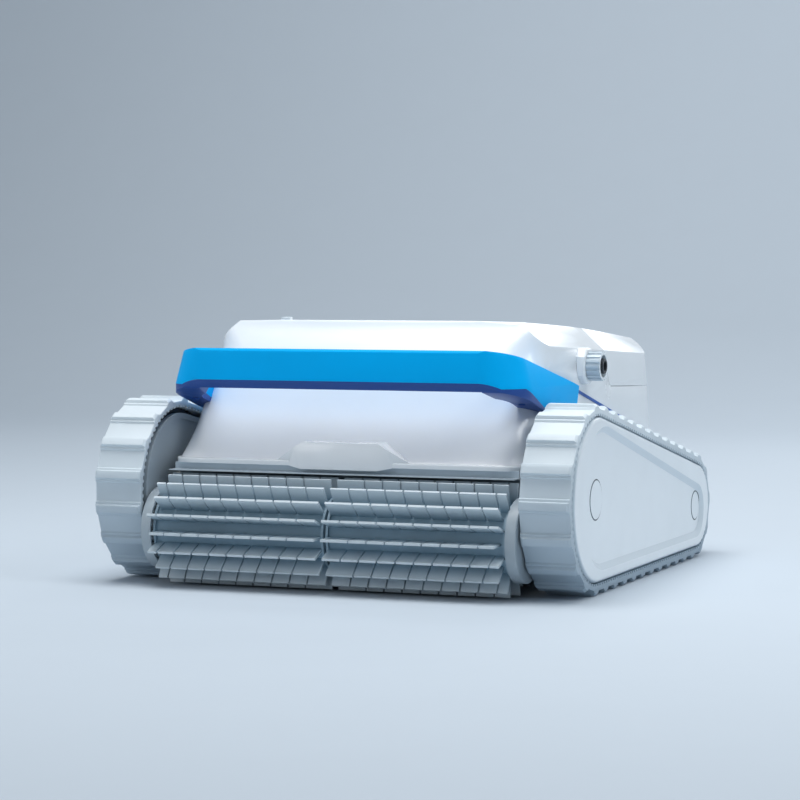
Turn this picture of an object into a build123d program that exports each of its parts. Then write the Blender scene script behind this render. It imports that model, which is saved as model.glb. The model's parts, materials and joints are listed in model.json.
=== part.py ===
"""Cordless tracked pool cleaner: two rubber tracks, a full-width brush roller and a filter body with a handle.

Frame, in millimetres: +X is the side with the charging port, -Y the front with the brush, +Z up.
The origin is on the floor, midway along and across the machine.
Side profiles are drawn on planes whose own origin is on the floor under the front wheel axis.
"""

from build123d import *
import os
from math import acos, atan2, cos, degrees, hypot, pi, radians, sin, tan

os.makedirs("parts", exist_ok=True)

# ---------------------------------------------------------------- driving dimensions
AXLE_Y = -136.1              # front wheel axis, measured from the machine's middle

# tracks
TRACK_INNER_X = 170.5        # belt face nearest the body
TRACK_OUTER_X = 213.5        # belt face under the side cover's rim
DRIVE_TEETH = 72
IDLER_TEETH = 42
BELT_TEETH = 157
LUG_COUNT = 36
DRIVE_PITCH_R = 72.5
TOOTH_PITCH = 2 * pi * DRIVE_PITCH_R / DRIVE_TEETH
IDLER_PITCH_R = IDLER_TEETH * TOOTH_PITCH / (2 * pi)
LUG_TOP = 7.0                # heights are measured out from the belt's pitch line
LUG_STEP = 4.4
PAD_TOP = 2.7
BELT_INSIDE = -1.1
BELT_TOOTH_TIP = -3.0
LUG_EDGE_CHAMFER = 2.0
FRONT_AXLE_Z = DRIVE_PITCH_R + LUG_TOP
REAR_AXLE_Z = IDLER_PITCH_R + LUG_TOP
TAPER = DRIVE_PITCH_R - IDLER_PITCH_R

# brush roller
BRUSH_Y = -44.5              # ahead of the front wheel axis
BRUSH_Z = 48.0
BRUSH_TIP_R = 47.0
BRUSH_HUB_R = 29.0
BRUSH_HALF_LENGTH = 158.5
BRUSH_ROWS = 18
FIRST_ROW = 2.0              # degrees, from straight back
BLADE_THICKNESS = 2.0
FINGER_PITCH = 16.2
FINGER_GAP = 1.5
BRUSH_SHAFT_R = 5.0
RUNNING_CLEARANCE = 0.06

# body
WALL = 3.0
LIP_Z = 104.0
HULL_FLOOR_Z = 22.0
HULL_HALF_WIDTH = 155.0
HULL_FRONT_Y = 6.0
HULL_REAR_Y = 350.0
ROOF_Z = 226.0
ROOF_START_Y = 38.0
ROOF_TILT = 2.6              # degrees, falling to the rear
ROOF_HALF_WIDTH = 132.0      # to where the side bevels start
ROOF_MIDDLE_Y = 200.0
ROOF_MIDDLE_DROP = 8.6
ROOF_END_Y = 360.0
ROOF_REAR_DROP = 22.0
ROOF_ARC = (
    (ROOF_START_Y, ROOF_Z),
    (ROOF_MIDDLE_Y, ROOF_Z - ROOF_MIDDLE_DROP),
    (ROOF_END_Y, ROOF_Z - ROOF_REAR_DROP),
)
SEAM_TILT = 13.0             # degrees, falling to the rear
SEAM_Z = 192.2               # seam height over the front wheel axis
SEAM_HALF = 1.25             # half the thickness of the coloured seam strip
SEAM_PROUD = 0.8
LID_FRONT_Y = 209.0
LID_GAP = 0.25               # half of the gap between the lid and the shell

# joints and small parts
GEAR_X = 159.5
GEAR_WIDTH = 3.0
BRUSH_DRIVE_TEETH = 27
BRUSH_GEAR_TEETH = 33
HUB_GEAR_TEETH = 40
PINION_TEETH = 20
HUB_MODULE = 1.0
PORT_Y = 141.0
PORT_Z = 185.0
BUTTON_X = -112.0
BUTTON_Y = 100.0
OUTLET_Y = 118.0
OUTLET_R = 34.0
PUMP_R = 38.0


# ---------------------------------------------------------------- helpers
def side_plane(x):
    """Plane facing +X, drawn in distance behind the front wheel axis and height above the floor."""
    return Plane(origin=(x, AXLE_Y, 0), x_dir=(0, 1, 0), z_dir=(1, 0, 0))


def place(x, y, z):
    """Point given by its distance behind the front wheel axis."""
    return (x, AXLE_Y + y, z)


def save(piece, name):
    """Labels one finished piece and writes its STEP file."""
    piece.part.label = name
    export_step(piece.part, f"parts/{name}.step")


def save_pair(right, name):
    """Writes a right-hand piece and its mirror image."""
    save(right, f"{name}_right")
    with BuildPart() as left:
        mirror(right.part, about=Plane.YZ)
    save(left, f"{name}_left")


def tube(x, y, z, radius, length, bore=0.0):
    """Round bar or tube along +X from x."""
    with BuildPart() as piece:
        with BuildSketch(side_plane(x)):
            with Locations((y, z)):
                Circle(radius)
                if bore:
                    Circle(bore, mode=Mode.SUBTRACT)
        extrude(amount=length)
    return piece.part


def upright(x, y, z, radius, height, bore=0.0):
    """Round bar or tube along +Z from z."""
    with BuildPart() as piece:
        with BuildSketch(Plane.XY.offset(z)):
            with Locations((x, AXLE_Y + y)):
                Circle(radius)
                if bore:
                    Circle(bore, mode=Mode.SUBTRACT)
        extrude(amount=height)
    return piece.part


def block(x0, x1, y0, y1, z0, z1):
    """Plain block between two corners, y measured behind the front wheel axis."""
    with BuildPart() as piece:
        with BuildSketch(Plane.XY.offset(z0)):
            with Locations(((x0 + x1) / 2, AXLE_Y + (y0 + y1) / 2)):
                Rectangle(x1 - x0, y1 - y0)
        extrude(amount=z1 - z0)
    return piece.part


def gear_points(teeth, module, phase=0.0, backlash=0.16, addendum=0.85):
    """Outline of a 20-degree involute spur gear; phase turns it, in degrees."""
    pitch_r = teeth * module / 2
    base_r = pitch_r * cos(radians(20))
    tip_r = pitch_r + addendum * module
    root_r = pitch_r - 1.15 * module
    involute_at_pitch = tan(radians(20)) - radians(20)
    half_at_pitch = pi / (2 * teeth) - backlash / (2 * pitch_r)
    flank = [(root_r, None)]
    low_r = max(base_r, root_r) + 0.01
    for step in range(5):
        flank.append((low_r + (tip_r - low_r) * step / 4, True))
    points = []
    for tooth in range(teeth):
        middle = radians(phase) + 2 * pi * tooth / teeth
        rising = []
        for radius, on_involute in flank:
            pressure = acos(min(1.0, base_r / max(radius, low_r)))
            half = half_at_pitch + involute_at_pitch - (tan(pressure) - pressure)
            rising.append((radius, half))
        for radius, half in rising:
            points.append((radius * cos(middle - half), radius * sin(middle - half)))
        for radius, half in reversed(rising):
            points.append((radius * cos(middle + half), radius * sin(middle + half)))
    return points


def belt_point(distance, height):
    """Point on the belt: distance along the pitch line from under the front wheel, height out from that line."""
    distance = distance % BELT_LENGTH
    idler_end = WHEELBASE + (pi - 2 * SLOPE) * IDLER_PITCH_R
    drive_start = idler_end + WHEELBASE
    along = 0
    if distance < WHEELBASE:
        return (distance, LUG_TOP - height)
    if distance < drive_start:
        centre = (WHEELBASE, REAR_AXLE_Z)
        radius = IDLER_PITCH_R
        angle = -pi / 2 + min(distance - WHEELBASE, idler_end - WHEELBASE) / IDLER_PITCH_R
        along = max(0, distance - idler_end)
    else:
        centre = (0, FRONT_AXLE_Z)
        radius = DRIVE_PITCH_R
        angle = pi / 2 - 2 * SLOPE + (distance - drive_start) / DRIVE_PITCH_R
    reach = radius + height
    y = centre[0] + reach * cos(angle) - along * sin(angle)
    z = centre[1] + reach * sin(angle) + along * cos(angle)
    return (y, z)


def closed_belt_length(wheelbase):
    """Length of the belt's pitch line round both wheels."""
    slope = atan2(TAPER, wheelbase)
    wraps = DRIVE_PITCH_R * (pi + 2 * slope) + IDLER_PITCH_R * (pi - 2 * slope)
    return 2 * wheelbase + wraps


BELT_LENGTH = BELT_TEETH * TOOTH_PITCH
WHEELBASE = 300.0
for _ in range(20):
    WHEELBASE += (BELT_LENGTH - closed_belt_length(WHEELBASE)) / 2
SLOPE = atan2(TAPER, WHEELBASE)


def loop_outline(offset):
    """Tapered outline round both wheels at an offset from the belt's pitch line, as a sketch."""
    front_r = DRIVE_PITCH_R + offset
    rear_r = IDLER_PITCH_R + offset
    top = pi / 2 - 2 * SLOPE
    front_top = (front_r * cos(top), FRONT_AXLE_Z + front_r * sin(top))
    rear_top = (WHEELBASE + rear_r * cos(top), REAR_AXLE_Z + rear_r * sin(top))
    with BuildSketch(Plane.XY) as sketch:
        with BuildLine():
            Line((0, FRONT_AXLE_Z - front_r), (WHEELBASE, REAR_AXLE_Z - rear_r))
            ThreePointArc((WHEELBASE, REAR_AXLE_Z - rear_r), (WHEELBASE + rear_r, REAR_AXLE_Z), rear_top)
            Line(rear_top, front_top)
            ThreePointArc(front_top, (-front_r, FRONT_AXLE_Z), (0, FRONT_AXLE_Z - front_r))
        make_face()
    return sketch.sketch


def sprocket_points(teeth, phase):
    """Outline of a belt sprocket; phase is the angle of one tooth, in radians."""
    pitch_r = teeth * TOOTH_PITCH / (2 * pi)
    tip_r = pitch_r + BELT_INSIDE - 0.2
    root_r = pitch_r + BELT_TOOTH_TIP - 0.3
    tip_half = 1.1 / tip_r
    root_half = 1.6 / root_r
    points = []
    for tooth in range(teeth):
        middle = phase + 2 * pi * tooth / teeth
        corners = ((root_r, -root_half), (tip_r, -tip_half), (tip_r, tip_half), (root_r, root_half))
        for radius, turn in corners:
            points.append((radius * cos(middle + turn), radius * sin(middle + turn)))
    return points


def extruded_outline(points, y, z, x, width, bore):
    """Solid of a closed outline centred on an axis along X, with a round bore."""
    with BuildPart() as piece:
        with BuildSketch(side_plane(x)):
            with Locations((y, z)):
                with BuildLine(mode=Mode.PRIVATE) as outline:
                    Polyline(*points, close=True)
                add(make_face(outline.edges(), mode=Mode.PRIVATE))
                Circle(bore, mode=Mode.SUBTRACT)
        extrude(amount=width)
    return piece.part


# ---------------------------------------------------------------- tracks
def make_belt(lug_shift):
    """Rubber track: stepped lugs outside, fine drive teeth inside, lug ends chamfered."""
    lug_pitch = BELT_LENGTH / LUG_COUNT
    foremost = BELT_LENGTH - DRIVE_PITCH_R * pi / 2
    lug_profile = (
        (-6.2, PAD_TOP), (-5.4, LUG_STEP), (-3.7, LUG_STEP), (-3.0, LUG_TOP),
        (3.0, LUG_TOP), (3.7, LUG_STEP), (5.4, LUG_STEP), (6.2, PAD_TOP),
    )
    tooth_profile = ((-1.7, BELT_INSIDE), (-1.2, BELT_TOOTH_TIP), (1.2, BELT_TOOTH_TIP), (1.7, BELT_INSIDE))
    outside = []
    for lug in range(LUG_COUNT):
        middle = foremost + (lug + lug_shift) * lug_pitch
        outside += [belt_point(middle + along, height) for along, height in lug_profile]
    inside = []
    for tooth in range(BELT_TEETH):
        middle = (tooth + 0.5) * TOOTH_PITCH
        inside += [belt_point(middle + along, height) for along, height in tooth_profile]
    width = TRACK_OUTER_X - TRACK_INNER_X
    with BuildPart() as envelope:
        with BuildSketch(side_plane(TRACK_INNER_X)):
            add(loop_outline(LUG_TOP))
        extrude(amount=width)
        chamfer(envelope.faces().sort_by(Axis.X)[0].edges(), length=LUG_EDGE_CHAMFER)
        chamfer(envelope.faces().sort_by(Axis.X)[-1].edges(), length=LUG_EDGE_CHAMFER)
    with BuildPart() as belt:
        with BuildSketch(side_plane(TRACK_INNER_X)):
            with BuildLine():
                Polyline(*outside, close=True)
            make_face()
            with BuildLine():
                Polyline(*inside, close=True)
            make_face(mode=Mode.SUBTRACT)
        extrude(amount=width)
        add(envelope.part, mode=Mode.INTERSECT)
    return belt


belt_right = make_belt(0.0)
save(belt_right, "track_belt_right")
half_pitch_belt = make_belt(0.5)
with BuildPart() as belt_left:
    mirror(half_pitch_belt.part, about=Plane.YZ)
save(belt_left, "track_belt_left")

WHEEL_X = 177.5
WHEEL_WIDTH = 25.5
WEB_X = 197.0
PINION_Y = (HUB_GEAR_TEETH + PINION_TEETH) * HUB_MODULE / 2
SHAFT_R = 5.0

with BuildPart() as drive_wheel:
    add(extruded_outline(sprocket_points(DRIVE_TEETH, pi / 2), 0, FRONT_AXLE_Z, WHEEL_X, WHEEL_WIDTH, 62))
    with BuildSketch(side_plane(WEB_X)):
        with Locations((0, FRONT_AXLE_Z)):
            Circle(63)
            with PolarLocations(40, 6):
                Circle(11, mode=Mode.SUBTRACT)
    extrude(amount=4)
    add(tube(WHEEL_X + 0.5, 0, FRONT_AXLE_Z, 14, 24))
    add(extruded_outline(gear_points(HUB_GEAR_TEETH, HUB_MODULE), 0, FRONT_AXLE_Z, WHEEL_X + 0.5, 10, SHAFT_R))
    add(tube(WHEEL_X, 0, FRONT_AXLE_Z, SHAFT_R, 30), mode=Mode.SUBTRACT)
save_pair(drive_wheel, "drive_wheel")

with BuildPart() as drive_shaft:
    add(tube(158.5, 0, FRONT_AXLE_Z, SHAFT_R, 49))
    chamfer(drive_shaft.edges().filter_by(GeomType.CIRCLE), length=0.5)
save_pair(drive_shaft, "drive_shaft")

brush_reach = hypot(BRUSH_Y, BRUSH_Z - FRONT_AXLE_Z)
brush_angle = degrees(atan2(BRUSH_Z - FRONT_AXLE_Z, BRUSH_Y))
BRUSH_GEAR_MODULE = 2 * brush_reach / (BRUSH_DRIVE_TEETH + BRUSH_GEAR_TEETH)

with BuildPart() as brush_drive_gear:
    drive_teeth = gear_points(BRUSH_DRIVE_TEETH, BRUSH_GEAR_MODULE, brush_angle)
    add(extruded_outline(drive_teeth, 0, FRONT_AXLE_Z, GEAR_X, GEAR_WIDTH, SHAFT_R))
save_pair(brush_drive_gear, "brush_drive_gear")

idler_phase = -pi / 2 - (WHEELBASE % TOOTH_PITCH) / IDLER_PITCH_R
with BuildPart() as idler_wheel:
    add(extruded_outline(sprocket_points(IDLER_TEETH, idler_phase), WHEELBASE, REAR_AXLE_Z, WHEEL_X, WHEEL_WIDTH, 33))
    with BuildSketch(side_plane(188)):
        with Locations((WHEELBASE, REAR_AXLE_Z)):
            Circle(34)
            with PolarLocations(21, 5):
                Circle(6, mode=Mode.SUBTRACT)
    extrude(amount=4)
    add(tube(WHEEL_X + 0.5, WHEELBASE, REAR_AXLE_Z, 10, 24))
    add(tube(WHEEL_X, WHEELBASE, REAR_AXLE_Z, SHAFT_R + RUNNING_CLEARANCE, 30), mode=Mode.SUBTRACT)
save_pair(idler_wheel, "idler_wheel")

PLATE_X = 171.0
PLATE_THICKNESS = 4.5
PLATE_EDGE = -8.0            # from the belt's pitch line
POST_PLACES = ((112, 76), (222, 62))
HULL_BOSSES = ((112, 60), (222, 50))
COVER_INNER_X = 205.0
COVER_OUTER_X = 215.0
PANEL_X = 211.6
PANEL_ENDS = ((14, 80, 57), (308, 45, 22.5))
PLUG_X = 209.2
FRONT_PLUG_R = 16.5
REAR_PLUG_R = 13.2
PLUG_GAP = 0.5
PLUG_HEIGHT = 2.8
BOLT_SEAT_X = 207.2
BOLT_SHANK_R = 3.0

with BuildPart() as track_frame:
    with BuildSketch(side_plane(PLATE_X)):
        add(loop_outline(PLATE_EDGE))
    extrude(amount=PLATE_THICKNESS)
    with BuildSketch(side_plane(TRACK_INNER_X)):
        add(loop_outline(PLATE_EDGE))
        add(loop_outline(PLATE_EDGE - 5), mode=Mode.SUBTRACT)
    extrude(amount=PLATE_X - TRACK_INNER_X)
    for y, z in HULL_BOSSES:
        add(tube(HULL_HALF_WIDTH, y, z, 9, PLATE_X - HULL_HALF_WIDTH))
    for y, z in POST_PLACES:
        add(tube(PLATE_X, y, z, 5, COVER_INNER_X - PLATE_X))
    add(block(PLATE_X, 203, 80, 268, 10.5, 13.5))
    add(tube(TRACK_INNER_X, 0, FRONT_AXLE_Z, SHAFT_R + RUNNING_CLEARANCE, 12), mode=Mode.SUBTRACT)
    add(tube(TRACK_INNER_X, WHEELBASE, REAR_AXLE_Z, SHAFT_R, 12), mode=Mode.SUBTRACT)
    add(tube(TRACK_INNER_X, PINION_Y, FRONT_AXLE_Z, 5, 12), mode=Mode.SUBTRACT)
save_pair(track_frame, "track_frame")

with BuildPart() as idler_axles:
    add(tube(TRACK_INNER_X, WHEELBASE, REAR_AXLE_Z, SHAFT_R, 35.5))
    add(tube(190, WHEELBASE, REAR_AXLE_Z, BOLT_SHANK_R, 20), mode=Mode.SUBTRACT)
    mirror(about=Plane.YZ)
save(idler_axles, "idler_axles")


def panel_outline(offset):
    """Outline of the sunk panel: two circles and their outer tangents, as a sketch on the current plane."""
    (front_y, front_z, front_r), (rear_y, rear_z, rear_r) = PANEL_ENDS
    front_r += offset
    rear_r += offset
    with BuildSketch(Plane.XY) as sketch:
        with Locations((front_y, front_z)):
            Circle(front_r)
        with Locations((rear_y, rear_z)):
            Circle(rear_r)
        make_hull()
    return sketch.sketch


with BuildPart() as side_cover:
    with BuildSketch(side_plane(COVER_INNER_X)):
        add(loop_outline(-4.0))
    extrude(amount=COVER_OUTER_X - COVER_INNER_X)
    fillet(side_cover.faces().sort_by(Axis.X)[-1].edges(), radius=3.5)
    with BuildSketch(side_plane(COVER_OUTER_X)):
        add(panel_outline(2.5))
    with BuildSketch(side_plane(PANEL_X)):
        add(panel_outline(-2.5))
    loft(mode=Mode.SUBTRACT)
    with BuildSketch(side_plane(COVER_INNER_X)):
        add(loop_outline(-7.5))
        with Locations((0, FRONT_AXLE_Z), (WHEELBASE, REAR_AXLE_Z)):
            Circle(9, mode=Mode.SUBTRACT)
    extrude(amount=3.5, mode=Mode.SUBTRACT)
    add(tube(PLUG_X, 0, FRONT_AXLE_Z, FRONT_PLUG_R + PLUG_GAP, 10), mode=Mode.SUBTRACT)
    add(tube(PLUG_X, WHEELBASE, REAR_AXLE_Z, REAR_PLUG_R + PLUG_GAP, 10), mode=Mode.SUBTRACT)
    add(tube(200, 0, FRONT_AXLE_Z, SHAFT_R + RUNNING_CLEARANCE, 8), mode=Mode.SUBTRACT)
    add(tube(200, WHEELBASE, REAR_AXLE_Z, SHAFT_R, 6), mode=Mode.SUBTRACT)
    add(tube(200, WHEELBASE, REAR_AXLE_Z, BOLT_SHANK_R, 12), mode=Mode.SUBTRACT)
    add(tube(BOLT_SEAT_X, WHEELBASE, REAR_AXLE_Z, 6, 4), mode=Mode.SUBTRACT)
save_pair(side_cover, "side_cover")

with BuildPart() as axle_plugs:
    add(tube(PLUG_X, 0, FRONT_AXLE_Z, FRONT_PLUG_R, PLUG_HEIGHT))
    add(tube(PLUG_X, WHEELBASE, REAR_AXLE_Z, REAR_PLUG_R, PLUG_HEIGHT))
    fillet(axle_plugs.faces().filter_by(Axis.X).group_by(Axis.X)[-1].edges(), radius=0.6)
    mirror(about=Plane.YZ)
save(axle_plugs, "axle_plugs")

with BuildPart() as cover_bolts:
    add(tube(190, WHEELBASE, REAR_AXLE_Z, BOLT_SHANK_R, BOLT_SEAT_X - 190))
    with BuildSketch(side_plane(BOLT_SEAT_X)):
        with Locations((WHEELBASE, REAR_AXLE_Z)):
            Circle(5.5)
            RegularPolygon(2.5, 6, mode=Mode.SUBTRACT)
    extrude(amount=2.0)
    mirror(about=Plane.YZ)
save(cover_bolts, "cover_bolts")


# ---------------------------------------------------------------- track drives
MOTOR_REAR_X = 84.0
GEARBOX_R = 16.5
PINION_SHAFT_R = 3.0
pinion_phase = 180 + 180 / PINION_TEETH
with BuildPart() as motor_pinion:
    pinion_teeth = gear_points(PINION_TEETH, HUB_MODULE, pinion_phase)
    add(extruded_outline(pinion_teeth, PINION_Y, FRONT_AXLE_Z, WHEEL_X + 1, 9, PINION_SHAFT_R))
    add(tube(MOTOR_REAR_X + 66.2, PINION_Y, FRONT_AXLE_Z, PINION_SHAFT_R, 38))
save_pair(motor_pinion, "motor_pinion")

with BuildPart() as drive_motor:
    add(tube(MOTOR_REAR_X - 3, PINION_Y, FRONT_AXLE_Z, 6, 3))
    add(tube(MOTOR_REAR_X, PINION_Y, FRONT_AXLE_Z, 15, 40))
    add(tube(MOTOR_REAR_X + 40, PINION_Y, FRONT_AXLE_Z, GEARBOX_R, 26))
    add(tube(MOTOR_REAR_X + 66, PINION_Y, FRONT_AXLE_Z, 12, 2))
    add(tube(MOTOR_REAR_X + 66, PINION_Y, FRONT_AXLE_Z, PINION_SHAFT_R + 0.4, 5), mode=Mode.SUBTRACT)
    chamfer(drive_motor.edges().filter_by(GeomType.CIRCLE).group_by(Axis.X)[0], length=0.6)
save_pair(drive_motor, "drive_motor")

with BuildPart() as shaft_seals:
    add(tube(HULL_HALF_WIDTH - WALL, PINION_Y, FRONT_AXLE_Z, 6.5, WALL, bore=PINION_SHAFT_R + RUNNING_CLEARANCE))
    mirror(about=Plane.YZ)
save(shaft_seals, "shaft_seals")

# ---------------------------------------------------------------- brush roller
BLADE_ROOT_R = 27.5
HALF_GAP = 1.2
COLLAR_WIDTH = 2.0
COLLAR_R = 31.5


def brush_finger(first, last, angle):
    """One rubber finger of a row, between two cuts along the roller."""
    row_plane = Plane(
        origin=place((first + last) / 2, BRUSH_Y, BRUSH_Z),
        x_dir=(1, 0, 0),
        z_dir=(0, -sin(radians(angle)), cos(radians(angle))),
    )
    with BuildPart(row_plane) as finger:
        with Locations((0, (BLADE_ROOT_R + BRUSH_TIP_R) / 2, 0)):
            Box(last - first - FINGER_GAP, BRUSH_TIP_R - BLADE_ROOT_R, BLADE_THICKNESS)
    return finger.part


with BuildPart() as brush_sleeve:
    with BuildSketch(side_plane(HALF_GAP)):
        with Locations((BRUSH_Y, BRUSH_Z)):
            Circle(BRUSH_HUB_R)
            Circle(BRUSH_HUB_R - 2.5, mode=Mode.SUBTRACT)
    extrude(amount=BRUSH_HALF_LENGTH - HALF_GAP)
    for x, width, radius in (
        (HALF_GAP, COLLAR_WIDTH, COLLAR_R),
        (BRUSH_HALF_LENGTH - COLLAR_WIDTH, COLLAR_WIDTH, COLLAR_R),
        (HALF_GAP, 12, 9),
        (BRUSH_HALF_LENGTH - 12, 12, 9),
    ):
        add(tube(x, BRUSH_Y, BRUSH_Z, radius, width))
    fingers = []
    for row in range(BRUSH_ROWS):
        angle = 360 * row / BRUSH_ROWS + FIRST_ROW
        stagger = FINGER_PITCH / 2 * (row % 2)
        start = HALF_GAP + COLLAR_WIDTH + stagger
        cuts = [start + FINGER_PITCH * step for step in range(11)]
        ends = [HALF_GAP + COLLAR_WIDTH * 0.5] + [x for x in cuts[1:] if x < BRUSH_HALF_LENGTH - 3]
        ends.append(BRUSH_HALF_LENGTH - stagger * 0.4)
        for first, last in zip(ends, ends[1:]):
            fingers.append(brush_finger(first, last, angle))
    add(fingers)
    add(tube(0, BRUSH_Y, BRUSH_Z, BRUSH_SHAFT_R + RUNNING_CLEARANCE, 200), mode=Mode.SUBTRACT)
save_pair(brush_sleeve, "brush_sleeve")

with BuildPart() as brush_end_gear:
    end_teeth = gear_points(BRUSH_GEAR_TEETH, BRUSH_GEAR_MODULE, brush_angle + 180 + 180 / BRUSH_GEAR_TEETH)
    add(extruded_outline(end_teeth, BRUSH_Y, BRUSH_Z, GEAR_X, GEAR_WIDTH, BRUSH_SHAFT_R + RUNNING_CLEARANCE))
    add(tube(BRUSH_HALF_LENGTH, BRUSH_Y, BRUSH_Z, 12, 1, bore=BRUSH_SHAFT_R + RUNNING_CLEARANCE))
    add(tube(GEAR_X + GEAR_WIDTH, BRUSH_Y, BRUSH_Z, 10, 1.6, bore=BRUSH_SHAFT_R + RUNNING_CLEARANCE))
save_pair(brush_end_gear, "brush_end_gear")

with BuildPart() as brush_shaft:
    add(tube(-168.5, BRUSH_Y, BRUSH_Z, BRUSH_SHAFT_R, 337))
    chamfer(brush_shaft.edges().filter_by(GeomType.CIRCLE), length=0.6)
save(brush_shaft, "brush_shaft")

ARM_X = 165.6
ARM_THICKNESS = 3.0
SHROUD_R = 35.0
DRIVE_GEAR_ROOM_R = 27.2
ARM_FOOT = (36, 44)
with BuildPart() as brush_arm:
    with BuildSketch(side_plane(ARM_X)):
        with Locations((BRUSH_Y, BRUSH_Z)):
            Circle(9)
        with Locations(ARM_FOOT):
            Circle(9)
        with BuildLine():
            Polyline(
                (BRUSH_Y, BRUSH_Z + 9), (BRUSH_Y, BRUSH_Z - 9),
                (ARM_FOOT[0], ARM_FOOT[1] - 9), (ARM_FOOT[0], ARM_FOOT[1] + 9), close=True,
            )
        make_face()
        with Locations((BRUSH_Y, BRUSH_Z)):
            Circle(SHROUD_R)
            Circle(BRUSH_SHAFT_R, mode=Mode.SUBTRACT)
    extrude(amount=ARM_THICKNESS)
    arm_rims = brush_arm.faces().sort_by(Axis.X)[-1].edges().filter_by(GeomType.CIRCLE)
    fillet(arm_rims.sort_by(SortBy.RADIUS)[-1], radius=1.0)
    add(tube(GEAR_X, BRUSH_Y, BRUSH_Z, SHROUD_R, ARM_X - GEAR_X, bore=SHROUD_R - 2))
    add(tube(GEAR_X - 1, 0, FRONT_AXLE_Z, DRIVE_GEAR_ROOM_R, ARM_X - GEAR_X + 1), mode=Mode.SUBTRACT)
    add(tube(HULL_HALF_WIDTH, *ARM_FOOT, 7.5, ARM_X - HULL_HALF_WIDTH))
save_pair(brush_arm, "brush_arm")


# ---------------------------------------------------------------- body solids
BODY_SECTIONS = (
    # height, front face, half width, front corner radius
    (104, -40.5, 158.8, 18),
    (109, -35.0, 158.4, 20),
    (116, -28.5, 158.0, 23),
    (125, -21.5, 157.6, 27),
    (145, -8.5, 156.8, 32),
    (170, 6, 155.4, 35),
    (195, 21.5, 153.4, 36),
    (232, 44, 150.2, 36),
)
REAR_RADIUS = 16
TUB_FRONT_RADIUS = 5
TUB_REAR_RADIUS = 22


def rounded_outline(height, front_y, rear_y, half_width, front_radius, rear_radius):
    """Rectangle in plan with its own corner radius at the front and at the rear, as a sketch at a height."""
    with BuildSketch(Plane.XY.offset(height)) as sketch:
        with Locations((0, AXLE_Y + (front_y + rear_y) / 2)):
            Rectangle(2 * half_width, rear_y - front_y)
        fillet(sketch.vertices().group_by(Axis.Y)[0], radius=front_radius)
        fillet(sketch.vertices().group_by(Axis.Y)[-1], radius=rear_radius)
    return sketch.sketch


def body_rear_y(height):
    """Rear face of the body, leaning forward a little towards the top."""
    return 358 - (height - LIP_Z) * 0.025


def body_solid(inset):
    """Closed body form, moved in by an inset: drafted sides, slanted hollow front, crowned roof with a bevel."""
    with BuildPart() as body:
        for height, front_y, half_width, radius in BODY_SECTIONS:
            add(rounded_outline(
                height, front_y + inset * 1.15, body_rear_y(height) - inset,
                half_width - inset, radius - inset, REAR_RADIUS - inset,
            ))
        loft()
        add(block(-200, 200, -100, 420, LIP_Z + inset, 300), mode=Mode.INTERSECT)
        add(roof_form(inset), mode=Mode.INTERSECT)
        with BuildSketch(side_plane(-200)):
            with BuildLine():
                Polyline(
                    (-60, 90), (400, 90), (400, 166 - inset), (338, 212 - inset), (338, 240), (-60, 240), close=True,
                )
            make_face()
        extrude(amount=400, mode=Mode.INTERSECT)
        add(rounded_block(HULL_FLOOR_Z + inset, LIP_Z + 6, inset))
    return body.part


def roof_form(inset):
    """Everything under the roof: nearly flat across, bevelled along the sides, curving down to the rear."""
    top = ROOF_Z - inset
    start, middle, end = ((y, z - inset) for y, z in ROOF_ARC)
    with BuildPart() as roof:
        with BuildSketch(side_plane(-200)):
            with BuildLine():
                Line((-80, top + 4), start)
                ThreePointArc(start, middle, end)
                Polyline(end, (420, top - 34), (420, 20), (-80, 20), (-80, top + 4))
            make_face()
        extrude(amount=400)
        bevel_start = ROOF_HALF_WIDTH - inset * 0.7
        across = Plane(
            origin=place(0, -80, top + 118 * tan(radians(ROOF_TILT))),
            x_dir=(-1, 0, 0),
            z_dir=(0, cos(radians(ROOF_TILT)), -sin(radians(ROOF_TILT))),
        )
        with BuildSketch(across):
            with BuildLine():
                Line((-172, -39), (-bevel_start, -0.8))
                ThreePointArc((-bevel_start, -0.8), (0, 0.8), (bevel_start, -0.8))
                Line((bevel_start, -0.8), (172, -39))
                Polyline((172, -39), (190, -260), (-190, -260), (-172, -39))
            make_face()
        extrude(amount=520, mode=Mode.INTERSECT)
    return roof.part


def rounded_block(low, high, inset):
    """Lower tub between the tracks."""
    with BuildPart() as tub:
        add(rounded_outline(
            low, HULL_FRONT_Y + inset, HULL_REAR_Y - inset, HULL_HALF_WIDTH - inset,
            TUB_FRONT_RADIUS - inset, TUB_REAR_RADIUS - inset,
        ))
        extrude(amount=high - low)
    return tub.part


def seam_side(lift, upper):
    """Everything above or below the tilted seam, moved up by a lift."""
    slope = tan(radians(SEAM_TILT))
    front = (-100, SEAM_Z + lift + 100 * slope)
    rear = (420, SEAM_Z + lift - 420 * slope)
    limit = 300 if upper else -60
    with BuildPart() as side:
        with BuildSketch(side_plane(-220)):
            with BuildLine():
                Polyline(front, rear, (420, limit), (-100, limit), close=True)
            make_face()
        extrude(amount=440)
    return side.part


def lid_region(gap):
    """Rear region that the filter lid fills, grown by a gap."""
    with BuildPart() as region:
        with BuildSketch(side_plane(-220)) as profile:
            with BuildLine():
                Polyline(
                    (LID_FRONT_Y - gap, 260), (LID_FRONT_Y - gap, 205), (LID_FRONT_Y + 13 - gap, 164 - gap),
                    (420, 157 - gap), (420, 260), close=True,
                )
            make_face()
            fillet(profile.vertices().sort_by(Axis.Y)[1], radius=9)
        extrude(amount=440)
    return region.part


outer_body = body_solid(0)
inner_body = body_solid(WALL)
proud_body = body_solid(-SEAM_PROUD)
with BuildPart() as shell_walls:
    add(outer_body)
    add(inner_body, mode=Mode.SUBTRACT)


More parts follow.
